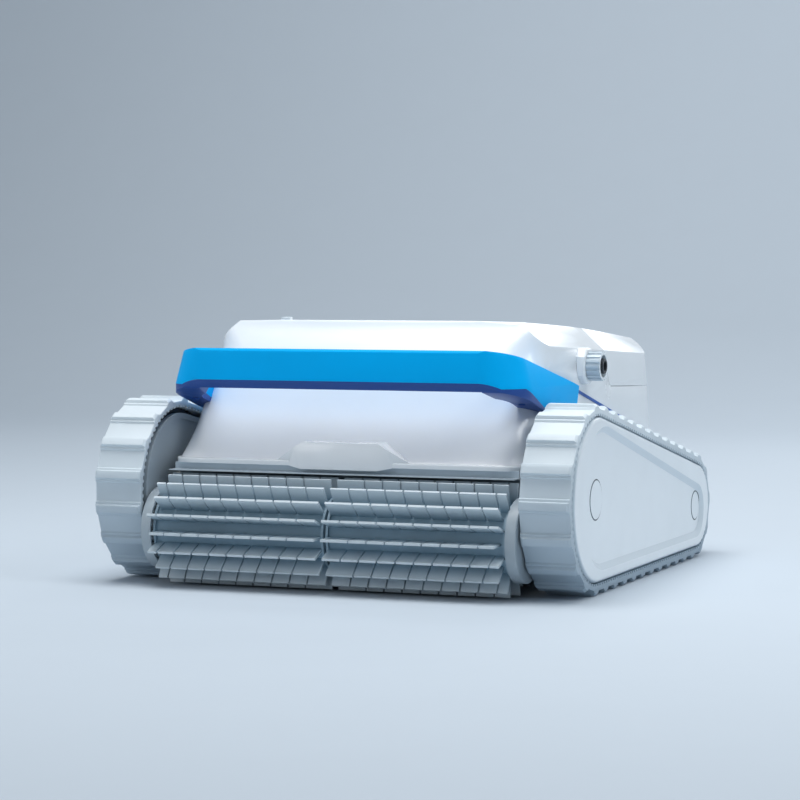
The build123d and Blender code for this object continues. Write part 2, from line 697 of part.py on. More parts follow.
def roof_plane(y, drop):
    """Plane lying on the roof's centre line at y, moved in along its own normal by a drop."""
    first, middle, last = (Vector(*point) for point in ROOF_ARC)
    arc = Edge.make_three_point_arc(first, middle, last)
    share = (y - ROOF_START_Y) / (ROOF_END_Y - ROOF_START_Y)
    where = arc.position_at(share)
    tangent = arc.tangent_at(share)
    plane = Plane(origin=place(0, where.X, where.Y), x_dir=(1, 0, 0), z_dir=(0, -tangent.Y, tangent.X))
    return plane.offset(-drop)


# ---------------------------------------------------------------- shells
LIP_DEPTH = 4.2
LIP_HALF_WIDTH = 159.4
HINGE_Y = 360.3
HINGE_Z = 156.5
HINGE_X = 93.4
HINGE_WIDTH = 7.2
HINGE_EAR = 5.0
HINGE_GAP = 0.4
KNUCKLE_R = 3.4
HINGE_PIN_R = 1.5
BUTTON_R = 5.2
BUTTON_CLEARANCE = 0.25
INTAKE_HALF_X = 64.0
INTAKE_Y = (256, 296)
LOCK_Y = 223.0
LOCK_TRAVEL = 4.0


def front_lip():
    """Rounded lip that stands out along the bottom of the hollow front face."""
    with BuildPart() as lip:
        add(rounded_outline(LIP_Z, -41.5, 60, LIP_HALF_WIDTH, 19, 4))
        extrude(amount=LIP_DEPTH)
        fillet(lip.faces().sort_by(Axis.Z)[-1].edges(), radius=1.4)
        add(inner_body, mode=Mode.SUBTRACT)
        add(block(-170, 170, 10, 80, 100, 112), mode=Mode.SUBTRACT)
    return lip.part


with BuildPart() as lower_hull:
    add(shell_walls.part)
    add(seam_side(-SEAM_HALF, upper=False), mode=Mode.INTERSECT)
    add(front_lip())
    add(block(-INTAKE_HALF_X, INTAKE_HALF_X, *INTAKE_Y, 15, 30), mode=Mode.SUBTRACT)
    for side in (-1, 1):
        seal_start = side * (HULL_HALF_WIDTH - WALL / 2) - 3
        add(tube(seal_start, PINION_Y, FRONT_AXLE_Z, 6.5, 6), mode=Mode.SUBTRACT)
save(lower_hull, "lower_hull")

with BuildPart() as seam_strip:
    add(proud_body)
    add(inner_body, mode=Mode.SUBTRACT)
    add(seam_side(-SEAM_HALF, upper=True), mode=Mode.INTERSECT)
    add(seam_side(SEAM_HALF, upper=False), mode=Mode.INTERSECT)
save(seam_strip, "seam_strip")

with BuildPart() as upper_shell:
    add(shell_walls.part)
    add(seam_side(SEAM_HALF, upper=True), mode=Mode.INTERSECT)
    add(lid_region(LID_GAP), mode=Mode.SUBTRACT)
    with BuildSketch(roof_plane(OUTLET_Y, 20)):
        Circle(OUTLET_R + 0.25)
    extrude(amount=40, mode=Mode.SUBTRACT)
    add(upright(BUTTON_X, BUTTON_Y, 190, BUTTON_R + BUTTON_CLEARANCE, 50), mode=Mode.SUBTRACT)
    add(tube(140, PORT_Y, PORT_Z, 8.2, 20), mode=Mode.SUBTRACT)
    for side in (-1, 1):
        for ear_x in (HINGE_X - HINGE_GAP - HINGE_EAR, HINGE_X + HINGE_WIDTH + HINGE_GAP):
            start = ear_x if side > 0 else -ear_x - HINGE_EAR
            add(tube(start, HINGE_Y, HINGE_Z, KNUCKLE_R, HINGE_EAR))
            add(block(start, start + HINGE_EAR, 354.5, HINGE_Y, 148, HINGE_Z))
            add(tube(start, HINGE_Y, HINGE_Z, HINGE_PIN_R, HINGE_EAR), mode=Mode.SUBTRACT)
save(upper_shell, "upper_shell")

with BuildPart() as filter_lid:
    add(shell_walls.part)
    add(lid_region(-LID_GAP), mode=Mode.INTERSECT)
    for side in (-1, 1):
        start = HINGE_X if side > 0 else -HINGE_X - HINGE_WIDTH
        add(tube(start, HINGE_Y, HINGE_Z, KNUCKLE_R, HINGE_WIDTH))
        add(block(start, start + HINGE_WIDTH, 354.5, HINGE_Y + 3, HINGE_Z + 3.1, HINGE_Z + 9))
        add(block(start, start + HINGE_WIDTH, 357.2, HINGE_Y + 3, HINGE_Z, HINGE_Z + 4))
        add(tube(start, HINGE_Y, HINGE_Z, HINGE_PIN_R + RUNNING_CLEARANCE, HINGE_WIDTH), mode=Mode.SUBTRACT)
    with BuildSketch(roof_plane(LOCK_Y, 1.2)):
        RectangleRounded(44, 19, 4)
    extrude(amount=10, mode=Mode.SUBTRACT)
    with BuildSketch(roof_plane(LOCK_Y, 6)):
        Rectangle(14, 11)
    extrude(amount=10, mode=Mode.SUBTRACT)
save(filter_lid, "filter_lid")

with BuildPart() as lid_hinge_pins:
    pin_length = HINGE_WIDTH + 2 * (HINGE_GAP + HINGE_EAR)
    add(tube(HINGE_X - HINGE_GAP - HINGE_EAR, HINGE_Y, HINGE_Z, HINGE_PIN_R, pin_length))
    mirror(about=Plane.YZ)
save(lid_hinge_pins, "lid_hinge_pins")

with BuildPart() as lid_lock:
    with BuildSketch(roof_plane(LOCK_Y + LOCK_TRAVEL / 2, 1.15)):
        RectangleRounded(30, 11, 2.5)
    extrude(amount=2.6)
    fillet(lid_lock.faces().sort_by(Axis.Z)[-1].edges(), radius=0.8)
    with BuildSketch(roof_plane(LOCK_Y + LOCK_TRAVEL / 2, 0.6)):
        with GridLocations(0, 3, 1, 3):
            Rectangle(20, 0.9)
    extrude(amount=2.6)
    with BuildSketch(roof_plane(LOCK_Y + LOCK_TRAVEL / 2, 6.5)):
        Rectangle(13, 5.5)
    extrude(amount=5.5)
    with BuildSketch(roof_plane(LOCK_Y - 3.2, 6.5)):
        Rectangle(13, 15)
    extrude(amount=2.4)
save(lid_lock, "lid_lock")

# ---------------------------------------------------------------- front trim and handle
with BuildPart() as front_plinth:
    with BuildSketch(Plane.XY.offset(101)):
        with BuildLine():
            Polyline(
                place(-61, -36, 0)[:2], place(-35, -46, 0)[:2], place(35, -46, 0)[:2], place(61, -36, 0)[:2],
                place(61, 0, 0)[:2], place(-61, 0, 0)[:2], close=True,
            )
        make_face()
    extrude(amount=26)
    with BuildSketch(Plane(origin=place(0, -60, 0), x_dir=(-1, 0, 0), z_dir=(0, 1, 0))):
        with BuildLine():
            Polyline((-60, 108.5), (-35, 124), (35, 124), (60, 108.5), (60, 106.5), (35, 101.5), (-35, 101.5),
                     (-60, 106.5), close=True)
        make_face()
    extrude(amount=80, mode=Mode.INTERSECT)
    with BuildSketch(side_plane(-80)):
        with BuildLine():
            Polyline((-45.5, 100), (-43, 125), (10, 125), (10, 104), (-30, 104), (-30, 100), close=True)
        make_face()
    extrude(amount=160, mode=Mode.INTERSECT)
    add(outer_body, mode=Mode.SUBTRACT)
    add(lower_hull.part, mode=Mode.SUBTRACT)
save(front_plinth, "front_plinth")

COWL_R = 49.6
with BuildPart() as brush_cowl:
    with BuildSketch(side_plane(-157)):
        with BuildLine():
            Polyline((-48, 90), (-48, 98.4), (-36, 98.4), (-36, 104), (12, 104), (12, 40), (0, 40), close=True)
        make_face()
        with Locations((BRUSH_Y, BRUSH_Z)):
            Circle(COWL_R, mode=Mode.SUBTRACT)
    extrude(amount=314)
    add(outer_body, mode=Mode.SUBTRACT)
    add(lower_hull.part, mode=Mode.SUBTRACT)
    add(front_plinth.part, mode=Mode.SUBTRACT)
save(brush_cowl, "brush_cowl")

HANDLE_HALF_X = 162.0          # at the underside
HANDLE_TOP_HALF_X = 153.0
HANDLE_FLAT_HALF_X = 128.0     # flat underside between the arms
HANDLE_FLAT_Z = 169.0
HANDLE_FRONT_Y = -52.0
HANDLE_BAR_DEPTH = 23.0
HANDLE_CORNER_R = 36.0
HANDLE_LINER = 3.0
HANDLE_SCREW_PLACES = ((102, -39, 170.2, 0.0), (150, -8, 159.2, 0.31))


def handle_outline(height, half_width):
    """Outer plan outline of the handle at a height."""
    with BuildSketch(Plane.XY.offset(height)) as outline:
        with Locations((0, AXLE_Y + (HANDLE_FRONT_Y + 120) / 2)):
            Rectangle(2 * half_width, 120 - HANDLE_FRONT_Y)
        fillet(outline.vertices().group_by(Axis.Y)[0], radius=HANDLE_CORNER_R)
    return outline.sketch


def handle_plan():
    """Handle seen from above: arms that lean in towards the top, open inside for the body and the fingers."""
    opening_front = HANDLE_FRONT_Y + HANDLE_BAR_DEPTH
    with BuildPart() as plan:
        add(handle_outline(120, HANDLE_HALF_X))
        extrude(amount=52)
        add(handle_outline(172, HANDLE_HALF_X))
        add(handle_outline(204, HANDLE_TOP_HALF_X))
        loft()
        with BuildSketch(Plane.XY.offset(110)) as opening:
            with Locations((0, AXLE_Y + (opening_front + 140) / 2)):
                Rectangle(2 * HANDLE_HALF_X - 40, 140 - opening_front)
            fillet(opening.vertices().group_by(Axis.Y)[0], radius=20)
        extrude(amount=110, mode=Mode.SUBTRACT)
    return plan.part


with BuildPart() as handle_form:
    with BuildSketch(side_plane(-200)) as profile:
        with BuildLine():
            Polyline(
                (-52, 175), (-51, 201), (-49, 203), (-20.6, 196.6), (110.5, 168.7), (96, 130), (13.7, 151.3),
                (-46.5, 168.5), close=True,
            )
        make_face()
    extrude(amount=400)
    add(handle_plan(), mode=Mode.INTERSECT)
    with BuildSketch(Plane(origin=place(0, -60, 0), x_dir=(-1, 0, 0), z_dir=(0, 1, 0))):
        with BuildLine():
            Polyline(
                (-HANDLE_FLAT_HALF_X - 14, 150), (-HANDLE_FLAT_HALF_X, HANDLE_FLAT_Z),
                (HANDLE_FLAT_HALF_X, HANDLE_FLAT_Z), (HANDLE_FLAT_HALF_X + 14, 150), close=True,
            )
        make_face()
    extrude(amount=50, mode=Mode.SUBTRACT)
    add(outer_body, mode=Mode.SUBTRACT)
    add(seam_strip.part, mode=Mode.SUBTRACT)
with BuildPart() as liner_region:
    with BuildSketch(side_plane(-200)):
        with BuildLine():
            Polyline((-60, 168), (-52, 175 + 1.2), (-46.5, 168.5 + HANDLE_LINER), (-28, 168.5 + HANDLE_LINER),
                     (13.7, 151.3 + HANDLE_LINER), (130, 121), (130, 90), (-60, 90), close=True)
        make_face()
    extrude(amount=400)
with BuildPart() as handle_screws:
    for side in (-1, 1):
        for x, y, z, lean_back in HANDLE_SCREW_PLACES:
            lean = Plane(origin=place(side * x, y, z), x_dir=(1, 0, 0), z_dir=(0, lean_back, 0.95))
            with BuildSketch(lean):
                Circle(3.0)
                RegularPolygon(1.4, 6, mode=Mode.SUBTRACT)
            extrude(amount=2.0)
            with BuildSketch(lean.offset(2.0)):
                Circle(1.6)
            extrude(amount=8)
with BuildPart() as screw_wells:
    for side in (-1, 1):
        for x, y, z, lean_back in HANDLE_SCREW_PLACES:
            lean = Plane(origin=place(side * x, y, z), x_dir=(1, 0, 0), z_dir=(0, lean_back, 0.95))
            with BuildSketch(lean.offset(-10)):
                Circle(3.2)
            extrude(amount=12)
            with BuildSketch(lean):
                Circle(1.6)
            extrude(amount=10)
with BuildPart() as handle:
    add(handle_form.part)
    add(liner_region.part, mode=Mode.SUBTRACT)
    add(screw_wells.part, mode=Mode.SUBTRACT)
save(handle, "handle")
with BuildPart() as handle_liner:
    add(handle_form.part)
    add(liner_region.part, mode=Mode.INTERSECT)
    add(screw_wells.part, mode=Mode.SUBTRACT)
save(handle_liner, "handle_liner")
save(handle_screws, "handle_screws")

# ---------------------------------------------------------------- charging port
PORT_FACE_X = 161.7
SOCKET_R = 6.6
SOCKET_BORE_R = 4.5
SOCKET_FLOOR_X = 163.2
SOCKET_END_X = 176.2
CONTACT_R = 3.0
CONTACT_DEPTH = 1.6
with BuildPart() as charge_port_base:
    with BuildSketch(side_plane(149)) as base_outline:
        with Locations((PORT_Y, PORT_Z)):
            Rectangle(28, 32)
        chamfer(base_outline.vertices(), length=7.5)
    extrude(amount=PORT_FACE_X - 149)
    chamfer(charge_port_base.faces().sort_by(Axis.X)[-1].edges(), length=1.5)
    with BuildSketch(side_plane(153)):
        with BuildLine():
            Polyline((PORT_Y + 12, PORT_Z - 8), (PORT_Y + 29, PORT_Z - 5), (PORT_Y + 12, PORT_Z), close=True)
        make_face()
    extrude(amount=4.5)
    add(outer_body, mode=Mode.SUBTRACT)
    add(tube(140, PORT_Y, PORT_Z, 8.2, 30), mode=Mode.SUBTRACT)
save(charge_port_base, "charge_port_base")

with BuildPart() as charge_socket:
    add(tube(145, PORT_Y, PORT_Z, 11, 3))
    add(tube(146, PORT_Y, PORT_Z, 8, PORT_FACE_X - 145.5))
    add(tube(146, PORT_Y, PORT_Z, SOCKET_R, SOCKET_END_X - 146))
    add(tube(SOCKET_FLOOR_X, PORT_Y, PORT_Z, SOCKET_BORE_R, 30), mode=Mode.SUBTRACT)
    add(tube(SOCKET_FLOOR_X - CONTACT_DEPTH, PORT_Y, PORT_Z, CONTACT_R, CONTACT_DEPTH), mode=Mode.SUBTRACT)
    chamfer(charge_socket.faces().sort_by(Axis.X)[-1].edges(), length=0.5)
save(charge_socket, "charge_socket")

with BuildPart() as charge_contact:
    add(tube(SOCKET_FLOOR_X - CONTACT_DEPTH, PORT_Y, PORT_Z, CONTACT_R, CONTACT_DEPTH - 0.1))
    fillet(charge_contact.faces().sort_by(Axis.X)[-1].edges(), radius=0.5)
save(charge_contact, "charge_contact")

COLLAR_RIBS = 16
with BuildPart() as charge_collar:
    with BuildSketch(side_plane(PORT_FACE_X + 0.4)):
        with Locations((PORT_Y, PORT_Z)):
            Circle(12.0)
            with PolarLocations(12.0, COLLAR_RIBS):
                Rectangle(1.8, 2.6)
            Circle(8.4, mode=Mode.SUBTRACT)
    extrude(amount=12.5)
    collar_rims = charge_collar.faces().sort_by(Axis.X)[-1].edges().filter_by(GeomType.CIRCLE)
    fillet(collar_rims.sort_by(SortBy.RADIUS)[0], radius=1.0)
    add(tube(PORT_FACE_X + 6.5, PORT_Y, PORT_Z, 9.9, 20), mode=Mode.SUBTRACT)
save(charge_collar, "charge_collar")

# ---------------------------------------------------------------- power button
BUTTON_TOP_Z = 227.4
BUTTON_FLANGE_Z = 209.5
with BuildPart() as power_button:
    add(upright(BUTTON_X, BUTTON_Y, BUTTON_FLANGE_Z, BUTTON_R, BUTTON_TOP_Z - BUTTON_FLANGE_Z))
    add(upright(BUTTON_X, BUTTON_Y, BUTTON_FLANGE_Z, 7.5, 2.0))
    fillet(power_button.faces().sort_by(Axis.Z)[-1].edges(), radius=1.2)
save(power_button, "power_button")

with BuildPart() as button_spring:
    with BuildLine():
        Helix(pitch=1.8, height=6.3, radius=4.2, center=place(BUTTON_X, BUTTON_Y, 202.6))
    with BuildSketch(Plane(origin=place(BUTTON_X + 4.2, BUTTON_Y, 202.6), z_dir=(0, 1, 0))):
        Circle(0.5)
    sweep(is_frenet=True)
save(button_spring, "button_spring")

with BuildPart() as button_housing:
    add(upright(BUTTON_X, BUTTON_Y, 199, 11, 40))
    add(upright(BUTTON_X, BUTTON_Y, 202, 8.2, 40), mode=Mode.SUBTRACT)
    add(inner_body, mode=Mode.INTERSECT)
save(button_housing, "button_housing")

# ---------------------------------------------------------------- pump and outlet
MOTOR_TOP_Z = 122.0
IMPELLER_Z = 140.0
IMPELLER_BLADES = 5
with BuildPart() as pump_motor:
    add(upright(0, OUTLET_Y, HULL_FLOOR_Z + WALL, 30, 5))
    add(upright(0, OUTLET_Y, HULL_FLOOR_Z + WALL, 22, MOTOR_TOP_Z - HULL_FLOOR_Z - WALL))
    fillet(pump_motor.edges().filter_by(GeomType.CIRCLE).group_by(Axis.Z)[-1], radius=2)
    add(upright(0, OUTLET_Y, 100, 3.3, 30), mode=Mode.SUBTRACT)
save(pump_motor, "pump_motor")

with BuildPart() as outlet_duct:
    add(upright(0, OUTLET_Y, MOTOR_TOP_Z, PUMP_R, 94.5, bore=PUMP_R - 3))
    with BuildSketch(Plane.XY.offset(MOTOR_TOP_Z)):
        with Locations((0, AXLE_Y + OUTLET_Y)):
            Circle(PUMP_R - 2.5)
            Circle(PUMP_R - 7, mode=Mode.SUBTRACT)
            Circle(14)
            with PolarLocations(0, 6):
                with Locations((17, 0)):
                    Rectangle(30, 3.5)
            Circle(4.2, mode=Mode.SUBTRACT)
    extrude(amount=3)
save(outlet_duct, "outlet_duct")


def impeller_vane(turn):
    """One pitched blade, turned round the pump's axis."""
    radial = Plane(
        origin=place(20.5 * cos(turn), OUTLET_Y + 20.5 * sin(turn), IMPELLER_Z),
        x_dir=(cos(turn), sin(turn), 0),
        z_dir=(-sin(turn) * 0.5, cos(turn) * 0.5, 0.87),
    )
    with BuildPart(radial) as vane:
        Box(25, 17, 1.8)
    return vane.part


with BuildPart() as impeller:
    add(upright(0, OUTLET_Y, 101, 3, 50))
    add(upright(0, OUTLET_Y, IMPELLER_Z - 8, 10, 16))
    fillet(impeller.faces().sort_by(Axis.Z)[-1].edges(), radius=1)
    for blade in range(IMPELLER_BLADES):
        add(impeller_vane(2 * pi * blade / IMPELLER_BLADES))
save(impeller, "impeller")

with BuildPart() as outlet_grille:
    with BuildSketch(roof_plane(OUTLET_Y, 3.2)):
        Circle(OUTLET_R)
        Circle(OUTLET_R - 3.5, mode=Mode.SUBTRACT)
        for ring_r in (8, 16, 24):
            Circle(ring_r)
            Circle(ring_r - 2.0, mode=Mode.SUBTRACT)
            if ring_r == 8:
                Circle(4)
        with PolarLocations(0, 8):
            with Locations((17, 0)):
                Rectangle(30, 2.0)
    extrude(amount=3.2)
save(outlet_grille, "outlet_grille")

# ---------------------------------------------------------------- filter and intake
BASKET_X = 118.0
BASKET_Y = (232, 338)
BASKET_Z = (61, 188)
BASKET_WALL = 2.5
BASKET_SLOT = (6, 44)
BASKET_SLOT_PITCH = 10
with BuildPart() as filter_basket:
    add(block(-BASKET_X, BASKET_X, *BASKET_Y, *BASKET_Z))
    fillet(filter_basket.edges().filter_by(Axis.Z), radius=8)
    add(block(-BASKET_X - 5, BASKET_X + 5, BASKET_Y[0] - 4, BASKET_Y[1] + 4, BASKET_Z[1] - 4, BASKET_Z[1]))
    add(block(-BASKET_X + BASKET_WALL, BASKET_X - BASKET_WALL, BASKET_Y[0] + BASKET_WALL, BASKET_Y[1] - BASKET_WALL,
              BASKET_Z[0] + BASKET_WALL, 240), mode=Mode.SUBTRACT)
    middle_y = (BASKET_Y[0] + BASKET_Y[1]) / 2
    middle_z = (BASKET_Z[0] + BASKET_Z[1]) / 2
    with BuildSketch(Plane(origin=place(0, 0, 0), x_dir=(-1, 0, 0), z_dir=(0, 1, 0))):
        with Locations((0, middle_z)):
            with GridLocations(BASKET_SLOT_PITCH, 50, 21, 2):
                SlotOverall(BASKET_SLOT[1], BASKET_SLOT[0], rotation=90)
    extrude(amount=400, mode=Mode.SUBTRACT)
    with BuildSketch(side_plane(-200)):
        with Locations((middle_y, middle_z)):
            with GridLocations(BASKET_SLOT_PITCH, 50, 9, 2):
                SlotOverall(BASKET_SLOT[1], BASKET_SLOT[0], rotation=90)
    extrude(amount=400, mode=Mode.SUBTRACT)
    add(block(-58, 58, 260, 292, 50, 70), mode=Mode.SUBTRACT)
    for ear_x in (-65, 62):
        add(block(ear_x, ear_x + 3, 255, 260, BASKET_Z[0] + BASKET_WALL, 66.2))
        add(tube(ear_x, 257.5, 66.2, 2.5, 3))
        add(tube(ear_x, 257.5, 66.2, 1.2, 3), mode=Mode.SUBTRACT)
save(filter_basket, "filter_basket")

with BuildPart() as filter_mesh:
    low, high = BASKET_Z[0] + 6, BASKET_Z[1] - 6
    edge_x = BASKET_X - BASKET_WALL
    for y in (BASKET_Y[0] + BASKET_WALL, BASKET_Y[1] - BASKET_WALL - 0.6):
        add(block(-edge_x + 5, edge_x - 5, y, y + 0.6, low, high))
    for x in (-edge_x, edge_x - 0.6):
        add(block(x, x + 0.6, BASKET_Y[0] + 8, BASKET_Y[1] - 8, low, high))
save(filter_mesh, "filter_mesh")

FLAP_PIN = (257.5, 66.2)
with BuildPart() as intake_flap:
    add(block(-60, 60, FLAP_PIN[0], 294, 63.9, 65.4))
    add(tube(-61.6, *FLAP_PIN, 2.2, 123.2))
    for x in (-40, 0, 40):
        add(block(x - 1, x + 1, FLAP_PIN[0], 290, 65, 67))
    add(tube(-70, *FLAP_PIN, 1.2 + RUNNING_CLEARANCE, 140), mode=Mode.SUBTRACT)
save(intake_flap, "intake_flap")

with BuildPart() as flap_pin:
    add(tube(-65, *FLAP_PIN, 1.2, 130))
save(flap_pin, "flap_pin")

with BuildPart() as intake_duct:
    add(block(-INTAKE_HALF_X, INTAKE_HALF_X, *INTAKE_Y, HULL_FLOOR_Z, BASKET_Z[0]))
    add(block(-INTAKE_HALF_X + 2.5, INTAKE_HALF_X - 2.5, INTAKE_Y[0] + 2.5, INTAKE_Y[1] - 2.5, 10, 80), mode=Mode.SUBTRACT)
save(intake_duct, "intake_duct")

PLATE_SCREW_PLACES = ((-100, 165), (100, 165), (-100, 318), (100, 318))
with BuildPart() as bottom_plate:
    add(block(-112, 112, 150, 332, HULL_FLOOR_Z - 3, HULL_FLOOR_Z))
    fillet(bottom_plate.edges().filter_by(Axis.Z), radius=14)
    chamfer(bottom_plate.faces().sort_by(Axis.Z)[0].edges(), length=1)
    add(block(-56, 56, 262, 290, 10, 30), mode=Mode.SUBTRACT)
    with BuildSketch(Plane.XY.offset(HULL_FLOOR_Z - 3)):
        with Locations(*[(x, AXLE_Y + y) for x, y in PLATE_SCREW_PLACES]):
            Circle(3.6)
    extrude(amount=3, mode=Mode.SUBTRACT)
save(bottom_plate, "bottom_plate")

with BuildPart() as plate_screws:
    with BuildSketch(Plane.XY.offset(HULL_FLOOR_Z - 2.6)):
        with Locations(*[(x, AXLE_Y + y) for x, y in PLATE_SCREW_PLACES]):
            Circle(3.5)
            RegularPolygon(1.5, 6, mode=Mode.SUBTRACT)
    extrude(amount=2.6)
save(plate_screws, "plate_screws")

# ---------------------------------------------------------------- power and control
FLOOR_TOP = HULL_FLOOR_Z + WALL
with BuildPart() as battery_pack:
    add(block(-72, 72, 14, 66, FLOOR_TOP, FLOOR_TOP + 6))
    with BuildSketch(side_plane(-66)):
        with Locations((40, FLOOR_TOP + 6 + 19)):
            with GridLocations(19.2, 19.2, 2, 2):
                Circle(9.7)
    extrude(amount=132)
    for x in (-70, -2, 66):
        add(block(x, x + 4, 18, 62, FLOOR_TOP, FLOOR_TOP + 46))
save(battery_pack, "battery_pack")

with BuildPart() as control_box:
    add(block(-60, 60, 69.5, 84, FLOOR_TOP, 112))
    fillet(control_box.edges().filter_by(Axis.Z), radius=3)
    add(block(-64, 64, 67.5, 86, 104, 108))
save(control_box, "control_box")
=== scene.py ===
"""Looks of the tracked pool cleaner: camera, studio, node materials and finished visible meshes."""
import json
from math import cos, pi, radians, sin

import bmesh
import bpy
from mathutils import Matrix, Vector

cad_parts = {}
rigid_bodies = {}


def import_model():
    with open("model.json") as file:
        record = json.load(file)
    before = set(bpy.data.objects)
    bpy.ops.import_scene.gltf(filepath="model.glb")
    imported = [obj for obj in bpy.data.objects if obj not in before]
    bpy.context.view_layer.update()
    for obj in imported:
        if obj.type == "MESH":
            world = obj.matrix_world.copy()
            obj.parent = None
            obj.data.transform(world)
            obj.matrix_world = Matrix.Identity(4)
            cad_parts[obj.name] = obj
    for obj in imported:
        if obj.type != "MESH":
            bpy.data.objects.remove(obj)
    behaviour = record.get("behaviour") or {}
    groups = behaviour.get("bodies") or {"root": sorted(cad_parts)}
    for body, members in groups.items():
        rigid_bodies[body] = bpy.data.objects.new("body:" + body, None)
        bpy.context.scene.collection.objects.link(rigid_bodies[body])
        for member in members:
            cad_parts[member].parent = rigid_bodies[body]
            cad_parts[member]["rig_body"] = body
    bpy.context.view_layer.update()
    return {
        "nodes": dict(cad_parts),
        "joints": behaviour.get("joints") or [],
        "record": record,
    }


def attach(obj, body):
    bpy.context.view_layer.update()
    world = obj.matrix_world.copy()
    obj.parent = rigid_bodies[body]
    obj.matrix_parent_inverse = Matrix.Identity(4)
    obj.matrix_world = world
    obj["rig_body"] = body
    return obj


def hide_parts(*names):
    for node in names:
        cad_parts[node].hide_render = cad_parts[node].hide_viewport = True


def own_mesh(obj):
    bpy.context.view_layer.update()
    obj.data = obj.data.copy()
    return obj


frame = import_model()
nodes = frame["nodes"]
slot_of = {part["node"]: part["material_slot"] for part in frame["record"]["subparts"]}

MM = 0.001
BLACK = (0, 0, 0)
WHITE = (1, 1, 1)


# ---------------------------------------------------------------- places worked out from the frame
def joint_called(name):
    """A joint's row in the frame."""
    return next(joint for joint in frame["joints"] if joint["name"] == name)


def joint_place(name):
    """Axis position of a joint, in metres."""
    return Vector(joint_called(name)["pos_m"])


WHEEL_AXIS = joint_place("drive_spin_right")
IDLER_AXIS = joint_place("idler_spin_right")
BRUSH_AXIS = joint_place("brush_spin_right")


# ---------------------------------------------------------------- camera
CAMERA_AZIMUTH = radians(21.582)
CAMERA_PITCH = radians(2.716)
CAMERA_FROM_AXLE = Vector((0.8377, -2.0225, 0.2622))
CAMERA_LENS = 115.4
CAMERA_SENSOR = 36


def make_camera():
    """Camera in front of the machine, a little to the charging port's side."""
    data = bpy.data.cameras.new("camera")
    data.lens = CAMERA_LENS
    data.sensor_width = CAMERA_SENSOR
    camera = bpy.data.objects.new("camera", data)
    bpy.context.scene.collection.objects.link(camera)
    camera.location = CAMERA_FROM_AXLE + Vector((0, WHEEL_AXIS.y, 0))
    camera.rotation_euler = (pi / 2 - CAMERA_PITCH, 0, CAMERA_AZIMUTH)
    bpy.context.scene.camera = camera


# ---------------------------------------------------------------- studio
# Places and sizes are in metres, powers in watts.
SUBJECT = (0, 0, 0.1)
LIGHTS = {
    "overhead": dict(place=(-0.1, -0.25, 1.9), target=SUBJECT, size=(1.3, 1.1), power=28),
    "front_left": dict(place=(-1.7, -1.7, 0.95), target=SUBJECT, size=(0.9, 0.8), power=5),
    "right_fill": dict(place=(1.5, -0.2, 1.5), target=(0.15, 0, 0.1), size=(0.8, 0.7), power=9,
                       colour=(0.95, 0.98, 1.0)),
    "rear_rim": dict(place=(0.4, 2.0, 1.2), target=SUBJECT, size=(1.4, 0.8), power=7),
    "backdrop_wash": dict(place=(0, 1.6, 2.6), target=(0, 3.4, 0.7), size=(3.2, 0.8), power=34),
}
WORLD_COLOUR = (0.82, 0.88, 0.94, 1)
WORLD_STRENGTH = 0.40

FLOOR_HALF_WIDTH = 6.0
FLOOR_FRONT_Y = -8.0
BACKDROP_Y = 3.6
BACKDROP_TOP = 7.0
COVE_RADIUS = 1.6
COVE_STEPS = 14


def area_light(name, place, target, size, power, colour=WHITE):
    """Soft rectangular light aimed at a point."""
    data = bpy.data.lights.new(name, "AREA")
    data.shape = "RECTANGLE"
    data.size, data.size_y = size
    data.energy = power
    data.color = colour
    light = bpy.data.objects.new(name, data)
    bpy.context.scene.collection.objects.link(light)
    light.location = place
    light.rotation_euler = (Vector(target) - Vector(place)).to_track_quat("-Z", "Y").to_euler()


def make_lighting():
    """Even sky light, one large overhead light, two fills, a rear rim light and a wash on the backdrop."""
    scene = bpy.context.scene
    scene.view_settings.view_transform = "Standard"
    world = bpy.data.worlds.new("studio")
    world.use_nodes = True
    background = world.node_tree.nodes["Background"]
    background.inputs["Color"].default_value = WORLD_COLOUR
    background.inputs["Strength"].default_value = WORLD_STRENGTH
    scene.world = world
    for name, light in LIGHTS.items():
        area_light(name, **light)


def make_floor():
    """Pale floor that curves up into a pale backdrop."""
    profile = [(FLOOR_FRONT_Y, 0.0)]
    for step in range(COVE_STEPS + 1):
        turn = pi / 2 * step / COVE_STEPS
        y = BACKDROP_Y - COVE_RADIUS + COVE_RADIUS * sin(turn)
        profile.append((y, COVE_RADIUS - COVE_RADIUS * cos(turn)))
    profile.append((BACKDROP_Y, BACKDROP_TOP))
    mesh = bpy.data.meshes.new("floor")
    verts = [(x, y, z) for y, z in profile for x in (-FLOOR_HALF_WIDTH, FLOOR_HALF_WIDTH)]
    faces = [(2 * k, 2 * k + 1, 2 * k + 3, 2 * k + 2) for k in range(len(profile) - 1)]
    mesh.from_pydata(verts, [], faces)
    for face in mesh.polygons:
        face.use_smooth = True
    floor = bpy.data.objects.new("floor", mesh)
    bpy.context.scene.collection.objects.link(floor)
    pale = moulded("studio_floor", (0.52, 0.59, 0.66), 0.7, grain=90, relief=0.0, coat=0.0, variation=0.004,
                   scuffs=0.02)
    floor.data.materials.append(pale)


